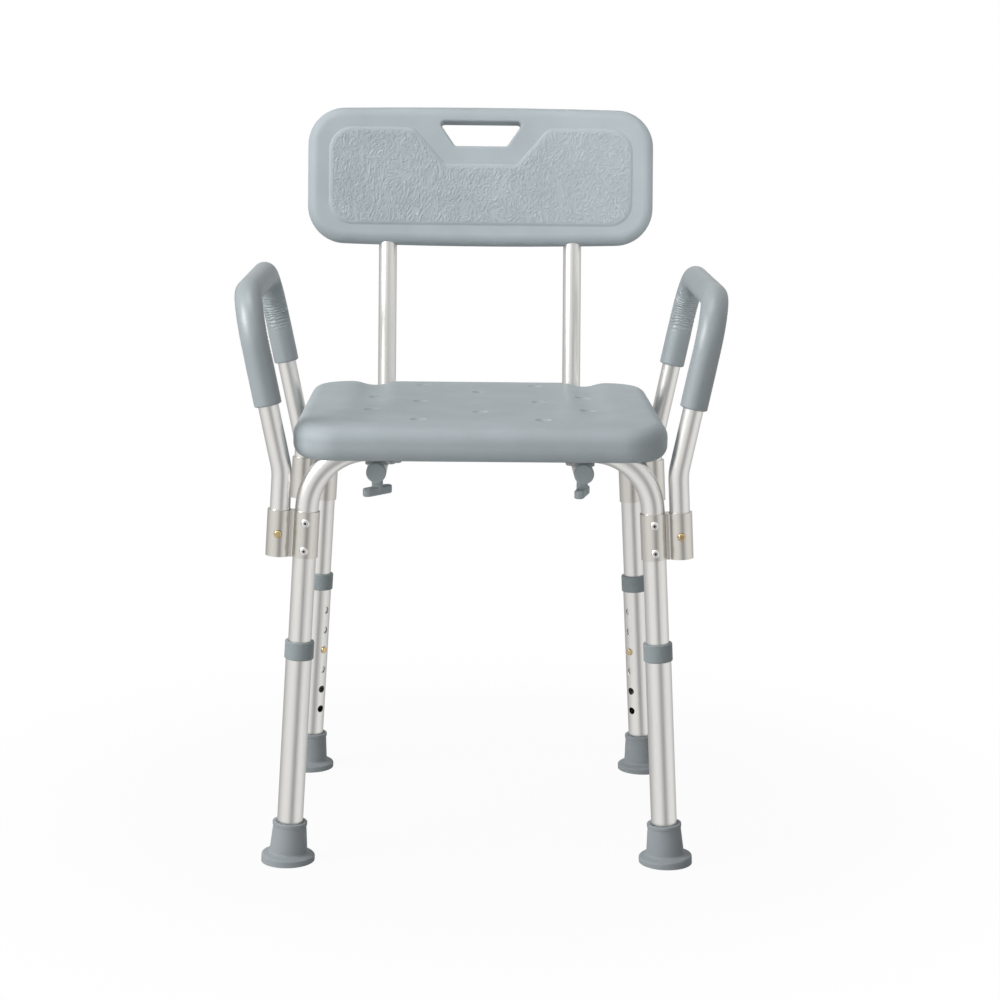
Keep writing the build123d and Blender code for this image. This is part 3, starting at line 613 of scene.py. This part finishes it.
def smooth_range(tree, factor, low, high, least=0.0):
    """A value that climbs smoothly from the least to 1 as the factor goes from low to high."""
    inputs = {"Value": factor, "From Min": low, "From Max": high, "To Min": least, "To Max": 1.0}
    node = add_node(tree, "ShaderNodeMapRange", inputs, interpolation_type="SMOOTHSTEP")
    return node.outputs["Result"]


def light_path_share(tree, *rays):
    """1 for a ray of one of the given kinds, else 0."""
    path = add_node(tree, "ShaderNodeLightPath")
    total = path.outputs[rays[0]]
    for ray in rays[1:]:
        inputs = {0: total, 1: path.outputs[ray]}
        total = add_node(tree, "ShaderNodeMath", inputs, operation="MAXIMUM").outputs["Value"]
    return total


def make_floor():
    """A white floor that keeps a faint shadow near the chair and is plain white farther out."""
    mesh = bpy.data.meshes.new("floor")
    corners = [(x * FLOOR_HALF, y * FLOOR_HALF, 0) for x, y in ((-1, -1), (1, -1), (1, 1), (-1, 1))]
    mesh.from_pydata(corners, [], [(0, 1, 2, 3)])
    floor = bpy.data.objects.new("floor", mesh)
    bpy.context.scene.collection.objects.link(floor)
    floor.visible_glossy = False
    material, tree, shader, place = start_material("floor_white")
    shader.inputs["Base Color"].default_value = linear(FLOOR_BOUNCE)
    shader.inputs["Roughness"].default_value = FLOOR_ROUGHNESS
    glow = add_node(tree, "ShaderNodeEmission", {"Color": WHITE, "Strength": 1.0})
    distance = add_node(tree, "ShaderNodeVectorMath", {0: place}, operation="LENGTH").outputs["Value"]
    fade = smooth_range(tree, distance, FLOOR_SHADE_NEAR, FLOOR_SHADE_FAR, 1.0 - FLOOR_SHADE)
    seen = light_path_share(tree, "Is Camera Ray", "Is Transmission Ray")
    keep = add_node(tree, "ShaderNodeMath", {0: seen, 1: fade}, operation="MULTIPLY").outputs["Value"]
    mix = add_node(tree, "ShaderNodeMixShader", {0: keep, 1: shader.outputs[0], 2: glow.outputs[0]})
    tree.links.new(mix.outputs[0], tree.nodes["Material Output"].inputs["Surface"])
    set_material(floor, material)


def make_world():
    """White to the camera, softer as a light, and lighter or darker by direction for the metal."""
    world = bpy.data.worlds.new("studio")
    bpy.context.scene.world = world
    world.use_nodes = True
    tree = world.node_tree
    direction = add_node(tree, "ShaderNodeTexCoord").outputs["Generated"]
    parts = add_node(tree, "ShaderNodeSeparateXYZ", {"Vector": direction}).outputs
    ahead = add_node(tree, "ShaderNodeMath", {0: parts["Y"], 1: -1.0}, operation="MULTIPLY")
    turn_inputs = {0: parts["X"], 1: ahead.outputs["Value"]}
    turn = add_node(tree, "ShaderNodeMath", turn_inputs, operation="ARCTAN2")
    compass_inputs = {"Value": turn.outputs["Value"], "From Min": -math.pi, "From Max": math.pi}
    compass = add_node(tree, "ShaderNodeMapRange", compass_inputs).outputs["Result"]
    scale = add_node(tree, "ShaderNodeValToRGB", {"Fac": compass})
    stops = scale.color_ramp.elements
    for position, _ in MIRRORED[1:-1]:
        stops.new(position)
    for stop, (position, level) in zip(stops, MIRRORED):
        stop.position = position
        stop.color = (level, level, level, 1.0)
    gain_inputs = {0: scale.outputs["Color"], "Scale": MIRRORED_GAIN}
    around = add_node(tree, "ShaderNodeVectorMath", gain_inputs, operation="SCALE").outputs["Vector"]
    climb = smooth_range(tree, parts["Z"], OVERHEAD_LOW, OVERHEAD_HIGH)
    mirrored_inputs = {"Fac": climb, "Color1": around, "Color2": OVERHEAD}
    mirrored = add_node(tree, "ShaderNodeMixRGB", mirrored_inputs).outputs["Color"]
    glossy = light_path_share(tree, "Is Glossy Ray", "Is Transmission Ray")
    lit_inputs = {"Fac": glossy, "Color1": AMBIENT, "Color2": mirrored}
    lit = add_node(tree, "ShaderNodeMixRGB", lit_inputs).outputs["Color"]
    seen_inputs = {"Fac": light_path_share(tree, "Is Camera Ray"), "Color1": lit, "Color2": WHITE}
    seen = add_node(tree, "ShaderNodeMixRGB", seen_inputs).outputs["Color"]
    tree.links.new(seen, tree.nodes["Background"].inputs["Color"])


def make_softbox(name, place, target, size, power, mirrored, beam):
    """A square lamp that faces a point, and that the metal mirrors or not."""
    light = bpy.data.lights.new(name, "AREA")
    light.energy = power
    light.size = size
    light.spread = beam
    box = bpy.data.objects.new(name, light)
    box.location = place
    box.rotation_euler = (Vector(target) - Vector(place)).to_track_quat("-Z", "Y").to_euler()
    box.visible_glossy = mirrored
    bpy.context.scene.collection.objects.link(box)


def make_camera():
    """The photograph's camera: where it stands, which way it looks and how wide it sees."""
    forward = Vector((
        math.sin(CAMERA_YAW) * math.cos(CAMERA_PITCH),
        math.cos(CAMERA_YAW) * math.cos(CAMERA_PITCH),
        -math.sin(CAMERA_PITCH),
    ))
    level = Vector((math.cos(CAMERA_YAW), -math.sin(CAMERA_YAW), 0.0))
    upright = level.cross(forward)
    right = level * math.cos(CAMERA_ROLL) + upright * math.sin(CAMERA_ROLL)
    up = upright * math.cos(CAMERA_ROLL) - level * math.sin(CAMERA_ROLL)
    data = bpy.data.cameras.new("camera")
    data.sensor_width = SENSOR_MM
    data.lens = CAMERA_FOCAL_PIXELS / IMAGE_PIXELS * SENSOR_MM
    camera = bpy.data.objects.new("camera", data)
    turn = Matrix((right, up, -forward)).transposed()
    camera.matrix_world = Matrix.Translation(CAMERA_PLACE) @ turn.to_4x4()
    bpy.context.scene.collection.objects.link(camera)
    bpy.context.scene.camera = camera


make_floor()
make_world()
for lamp, settings in LAMPS.items():
    make_softbox(lamp, *settings)
make_camera()
bpy.context.scene.view_settings.view_transform = "Standard"
